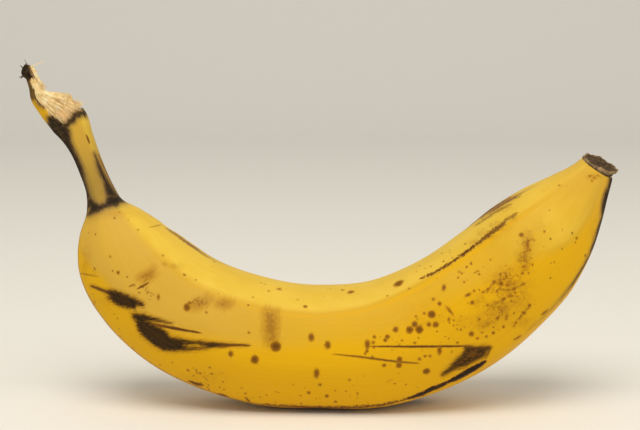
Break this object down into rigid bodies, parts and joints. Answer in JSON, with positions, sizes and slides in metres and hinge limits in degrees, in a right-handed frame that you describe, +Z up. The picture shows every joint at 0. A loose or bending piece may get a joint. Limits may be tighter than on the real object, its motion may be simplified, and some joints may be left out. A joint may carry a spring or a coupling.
{
  "type": "banana",
  "caption": "Ripe curved fruit with a soft five-sided section, a torn stalk and a dried flower scar, standing on the flat of its belly.",
  "frame": {"origin": "on the small flat that the fruit rests on, straight under its middle, in the plane of its bend", "axes": "+Z up, +X from the stalk towards the flower scar, -Y towards the side that shows three ridges"},
  "size_m": [0.1794, 0.0386, 0.1053],
  "materials": {
    "peel": "ripe yellow peel with brown sugar spots and bruises, satin"
  },
  "bodies": {
    "root": {"banana": "peel"}
  },
  "joints": []
}
